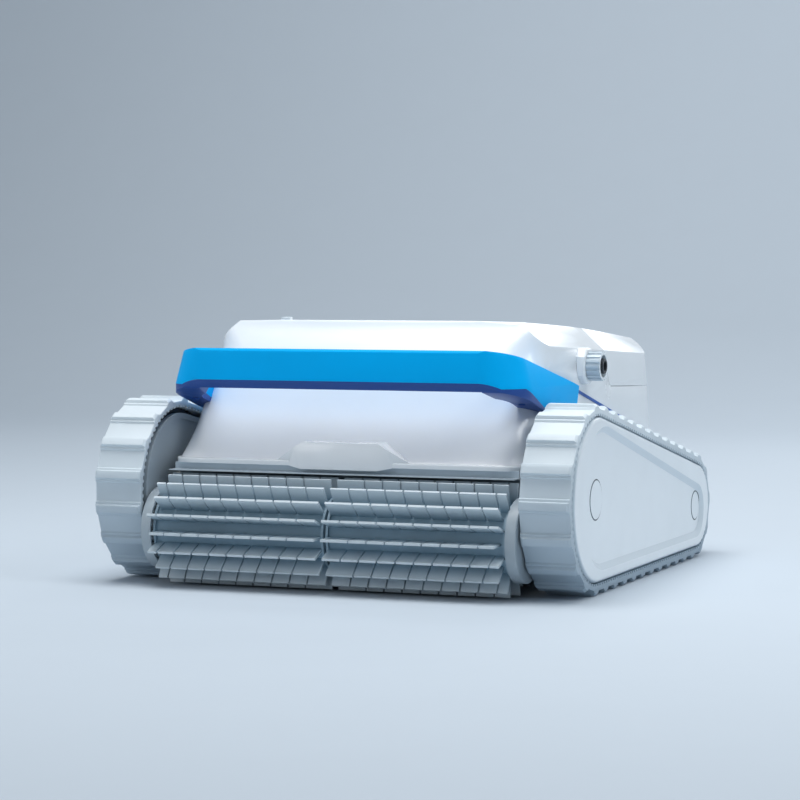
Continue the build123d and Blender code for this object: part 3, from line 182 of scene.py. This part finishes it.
# ---------------------------------------------------------------- shader nodes
class Nodes:
    """Short way to add and link shader nodes in one material."""

    def __init__(self, name):
        self.material = bpy.data.materials.new(name)
        self.material.use_nodes = True
        self.tree = self.material.node_tree
        self.shader = self.tree.nodes["Principled BSDF"]

    def add(self, kind, links=(), **values):
        node = self.tree.nodes.new("ShaderNode" + kind)
        for key, value in values.items():
            setattr(node, key, value)
        for socket, source in links:
            if isinstance(source, bpy.types.NodeSocket):
                self.tree.links.new(source, node.inputs[socket])
            else:
                node.inputs[socket].default_value = source
        return node

    def link(self, source, socket):
        self.tree.links.new(source, self.shader.inputs[socket])

    def set(self, **values):
        for key, value in values.items():
            self.shader.inputs[key.replace("_", " ")].default_value = value

    def place(self):
        return self.add("TexCoord").outputs["Object"]

    def split(self, vector):
        """X, Y and Z of a vector."""
        return self.add("SeparateXYZ", (("Vector", vector),)).outputs

    def stretch(self, vector, scale):
        return self.add("Mapping", (("Vector", vector), ("Scale", scale))).outputs[0]

    def noise(self, place, scale, detail):
        links = (("Vector", place), ("Scale", scale), ("Detail", detail), ("Roughness", 0.55))
        return self.add("TexNoise", links).outputs["Fac"]

    def ramp(self, source, low, high):
        """Blend between two colours, each given with the value at which it starts or ends."""
        node = self.add("ValToRGB", (("Fac", source),))
        for element, (where, colour) in zip(node.color_ramp.elements, (low, high)):
            element.position = where
            element.color = (*colour, 1)
        return node.outputs["Color"]

    def levels(self, source, low, high):
        """The same blend between two plain numbers."""
        return self.ramp(source, (low[0], (low[1],) * 3), (high[0], (high[1],) * 3))

    def math(self, operation, first, second=0.0):
        return self.add("Math", ((0, first), (1, second)), operation=operation).outputs[0]

    def mix(self, factor, first, second):
        """Colour mix: the first where the factor is 0, the second where it is 1."""
        node = self.add("Mix", data_type="RGBA")
        self.tree.links.new(factor, node.inputs["Factor"])
        for socket, source in (("A", first), ("B", second)):
            target = next(s for s in node.inputs if s.name == socket and s.type == "RGBA")
            if isinstance(source, bpy.types.NodeSocket):
                self.tree.links.new(source, target)
            else:
                target.default_value = (*source, 1)
        return next(s for s in node.outputs if s.type == "RGBA")

    def bump(self, height, strength, depth):
        """Surface relief, with its depth in metres."""
        node = self.add("Bump", (("Strength", strength), ("Distance", depth), ("Height", height)))
        self.link(node.outputs["Normal"], "Normal")

    def radius(self, axis):
        """Distance from an axis along X, in metres."""
        place = self.split(self.place())
        y = self.math("SUBTRACT", place["Y"], axis.y)
        z = self.math("SUBTRACT", place["Z"], axis.z)
        return self.math("SQRT", self.math("ADD", self.math("MULTIPLY", y, y), self.math("MULTIPLY", z, z)))


def tinted(colour, factor):
    return tuple(min(1.0, channel * factor) for channel in colour)


# ---------------------------------------------------------------- kinds of material
# Noise scales are in cycles per metre.
DRIFT_SCALE = 14
SMEAR_SCALE = (9, 22, 40)
GRAIN_DEPTH = 0.4 * MM
COAT_ROUGHNESS = 0.12

TURNING_SCALE = (1800, 60, 60)
TURNING_DEPTH = 0.1 * MM
TARNISH_SCALE = 60

NET_PITCH = 1.2 * MM
NET_DEPTH = 0.3 * MM


def moulded(name, colour, rough, grain=1400, relief=0.05, coat=0.25, variation=0.04, scuffs=0.10,
            specular=0.5, shade=None):
    """Moulded plastic or rubber: fine surface grain, slow colour drift and uneven gloss."""
    kit = Nodes(name)
    place = kit.place()
    drift = kit.noise(place, DRIFT_SCALE, 3)
    base = kit.ramp(drift, (0.3, tinted(colour, 1 - variation)), (0.7, tinted(colour, 1 + variation)))
    if shade is not None:
        base = shade(kit, base)
    kit.link(base, "Base Color")
    smear = kit.noise(kit.stretch(place, SMEAR_SCALE), 1.0, 6)
    kit.link(kit.levels(smear, (0.35, rough - scuffs * 0.4), (0.75, rough + scuffs * 0.6)), "Roughness")
    kit.bump(kit.noise(place, grain, 2), relief, GRAIN_DEPTH)
    kit.set(Coat_Weight=coat, Coat_Roughness=COAT_ROUGHNESS, Specular_IOR_Level=specular)
    return kit.material


def turned_metal(name, colour, rough):
    """Turned or drawn metal: fine rings along the bar and a little tarnish."""
    kit = Nodes(name)
    place = kit.place()
    rings = kit.noise(kit.stretch(place, TURNING_SCALE), 1.0, 3)
    tarnish = kit.noise(place, TARNISH_SCALE, 4)
    kit.link(kit.ramp(tarnish, (0.35, tinted(colour, 0.82)), (0.7, colour)), "Base Color")
    kit.link(kit.levels(rings, (0.3, rough * 0.7), (0.7, rough * 1.35)), "Roughness")
    kit.bump(rings, 0.12, TURNING_DEPTH)
    kit.set(Metallic=1.0)
    return kit.material


def woven_net(name, colour):
    """Fine filter cloth: two crossed waves make the threads."""
    kit = Nodes(name)
    place = kit.split(kit.place())
    across = kit.math("ADD", place["X"], place["Y"])
    waves = [kit.math("SINE", kit.math("MULTIPLY", axis, 2 * pi / NET_PITCH))
             for axis in (across, place["Z"])]
    threads = kit.math("MAXIMUM", *waves)
    kit.link(kit.ramp(threads, (0.1, tinted(colour, 0.35)), (0.8, tinted(colour, 1.2))), "Base Color")
    kit.bump(threads, 0.5, NET_DEPTH)
    kit.set(Roughness=0.7)
    return kit.material


# ---------------------------------------------------------------- painted shade and highlight over a surface
BRUSH_REACH = 50 * MM
# Painted highlight colour for the fingers' tips.
TIP_HIGHLIGHT = (0.60, 0.68, 0.73)

RAMPS_PER_METRE = 6.0
# Painted shade colour for the lower part of the treads.
TREAD_SHADOW_COLOUR = (0.33, 0.42, 0.50)

# Painted shade for faces that do not face sideways.
SLOPE_SHADE = (0.54, 0.63, 0.70)
PLUG_GAPS = ((WHEEL_AXIS, 16.75 * MM), (IDLER_AXIS, 13.45 * MM))
GAP_WIDTH = 0.8 * MM
# Painted shadow in the narrow gaps round the two plugs.
GAP_SHADOW = (0.05, 0.08, 0.11)


def brush_shade(kit, base):
    """Painted highlight: darker between the fingers, and painted pale at their tips, where light catches
    them.
    """
    reach = kit.math("MULTIPLY", kit.radius(BRUSH_AXIS), 1 / BRUSH_REACH)
    tips = kit.ramp(reach, (0.60, BLACK), (0.92, WHITE))
    return kit.mix(tips, base, TIP_HIGHLIGHT)


def tread_shade(kit, base):
    """Painted shade that deepens towards the ground, where less light reaches the treads."""
    height = kit.math("MULTIPLY", kit.split(kit.place())["Z"], RAMPS_PER_METRE)
    unshaded = kit.ramp(height, (0.05, BLACK), (0.85, WHITE))
    return kit.mix(unshaded, TREAD_SHADOW_COLOUR, base)


def ring_line(kit, axis, radius, width):
    """Mask of a thin ring round an axis along X, in metres."""
    off = kit.math("ABSOLUTE", kit.math("SUBTRACT", kit.radius(axis), radius))
    return kit.ramp(kit.math("DIVIDE", off, width), (0.35, WHITE), (1.0, BLACK))


def cover_shade(kit, base):
    """Painted shade on every face that does not face sideways, such as the slopes of the sunk panel, and a
    painted shadow line in the gaps round its two plugs.
    """
    normal = kit.split(kit.add("NewGeometry").outputs["Normal"])
    outward = kit.math("ABSOLUTE", normal["X"])
    base = kit.mix(kit.ramp(outward, (0.72, WHITE), (0.97, BLACK)), base, SLOPE_SHADE)
    for axis, radius in PLUG_GAPS:
        base = kit.mix(ring_line(kit, axis, radius, GAP_WIDTH), base, GAP_SHADOW)
    return base


# ---------------------------------------------------------------- the machine's materials
MATERIALS = {
    "white_shell": moulded("white_shell", (0.84, 0.885, 0.92), 0.26, grain=700, relief=0.03, coat=0.4,
                           variation=0.015, scuffs=0.03),
    "white_cover": moulded("white_cover", (0.84, 0.90, 0.94), 0.33, grain=900, relief=0.05, coat=0.3,
                           variation=0.02, scuffs=0.04, shade=cover_shade),
    "blue_grip": moulded("blue_grip", (0.0, 0.45, 0.96), 0.46, grain=1100, relief=0.04, coat=0.0,
                         variation=0.02, specular=0.06),
    "navy_liner": moulded("navy_liner", (0.004, 0.06, 0.30), 0.42, coat=0.1),
    "seam_blue": moulded("seam_blue", (0.0, 0.09, 0.42), 0.45, coat=0.0),
    "track_rubber": moulded("track_rubber", (0.70, 0.78, 0.83), 0.52, grain=1600, relief=0.12, coat=0.0,
                            variation=0.06, shade=tread_shade),
    "brush_rubber": moulded("brush_rubber", (0.22, 0.33, 0.41), 0.48, grain=2200, relief=0.10, coat=0.0,
                            variation=0.08, shade=brush_shade),
    "grey_plastic": moulded("grey_plastic", (0.35, 0.415, 0.465), 0.45, coat=0.1),
    # Near-black: on the drive and idler wheels this is painted shade, so the gap between belt and side
    # cover looks dark.
    "dark_plastic": moulded("dark_plastic", (0.030, 0.036, 0.044), 0.46, coat=0.1, variation=0.10),
    "gear_plastic": moulded("gear_plastic", (0.74, 0.71, 0.62), 0.42, coat=0.1),
    "motor_metal": turned_metal("motor_metal", (0.42, 0.44, 0.47), 0.38),
    "steel": turned_metal("steel", (0.58, 0.59, 0.61), 0.28),
    "contact_metal": turned_metal("contact_metal", (0.80, 0.62, 0.30), 0.25),
    "filter_net": woven_net("filter_net", (0.10, 0.20, 0.32)),
    "battery_wrap": moulded("battery_wrap", (0.02, 0.14, 0.07), 0.30, grain=500, relief=0.10, coat=0.2),
}


def dress(piece, node):
    """Gives a piece the one material of the CAD node that it is or stands for."""
    piece.data.materials.clear()
    piece.data.materials.append(MATERIALS[slot_of[node]])


# ---------------------------------------------------------------- finished meshes
EDGE_RADII = {
    "handle": 2.0 * MM, "handle_liner": 0.4 * MM,
    "upper_shell": 0.5 * MM, "filter_lid": 0.5 * MM, "lower_hull": 0.5 * MM, "front_plinth": 0.6 * MM,
    "charge_port_base": 0.5 * MM, "charge_collar": 0.25 * MM,
    "track_belt_left": 0.35 * MM, "track_belt_right": 0.35 * MM,
}
SAME_POINT = 2e-6
FLAT_ANGLE = radians(0.4)
ROUNDED_ANGLE = radians(28)
ROUNDING_SEGMENTS = 2
CRISP_ANGLE = radians(44)


def stand_in(name, mesh, node):
    """New piece that rides with the CAD node's body, takes its material and hides it."""
    piece = bpy.data.objects.new(name, mesh)
    bpy.context.scene.collection.objects.link(piece)
    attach(piece, nodes[node]["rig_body"])
    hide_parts(node)
    dress(piece, node)
    return piece


def merged_faces(node):
    """Copy of a CAD node's mesh with each flat stretch as one face."""
    mesh = nodes[node].data.copy()
    mesh.materials.clear()
    bm = bmesh.new()
    bm.from_mesh(mesh)
    bmesh.ops.remove_doubles(bm, verts=bm.verts, dist=SAME_POINT)
    bmesh.ops.dissolve_limit(bm, angle_limit=FLAT_ANGLE, verts=bm.verts, edges=bm.edges)
    bm.to_mesh(mesh)
    bm.free()
    return mesh


def rounded(mesh, width):
    """The mesh with its sharper edges rounded."""
    blank = bpy.data.objects.new("blank", mesh)
    bpy.context.scene.collection.objects.link(blank)
    bevel = blank.modifiers.new("edge_rounding", "BEVEL")
    bevel.width = width
    bevel.segments = ROUNDING_SEGMENTS
    bevel.limit_method = "ANGLE"
    bevel.angle_limit = ROUNDED_ANGLE
    evaluated = blank.evaluated_get(bpy.context.evaluated_depsgraph_get())
    final = bpy.data.meshes.new_from_object(evaluated)
    bpy.data.objects.remove(blank)
    return final


def smooth_by_angle(mesh):
    """Smooth faces, with the sharper edges kept crisp."""
    bm = bmesh.new()
    bm.from_mesh(mesh)
    for face in bm.faces:
        face.smooth = True
    for edge in bm.edges:
        edge.smooth = len(edge.link_faces) == 2 and edge.calc_face_angle(0) < CRISP_ANGLE
    bm.to_mesh(mesh)
    bm.free()


def soften(node, width):
    """Shows a CAD node with rounded edges."""
    mesh = rounded(merged_faces(node), width)
    smooth_by_angle(mesh)
    stand_in(node + "_moulding", mesh, node)


def live_spring(node):
    """Copy of an upright coil spring, on a mesh of its own."""
    piece = stand_in(node + "_coil", nodes[node].data.copy(), node)
    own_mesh(piece)


for node in nodes:
    dress(nodes[node], node)
for node, radius in EDGE_RADII.items():
    soften(node, radius)
live_spring("button_spring")

make_camera()
make_lighting()
make_floor()
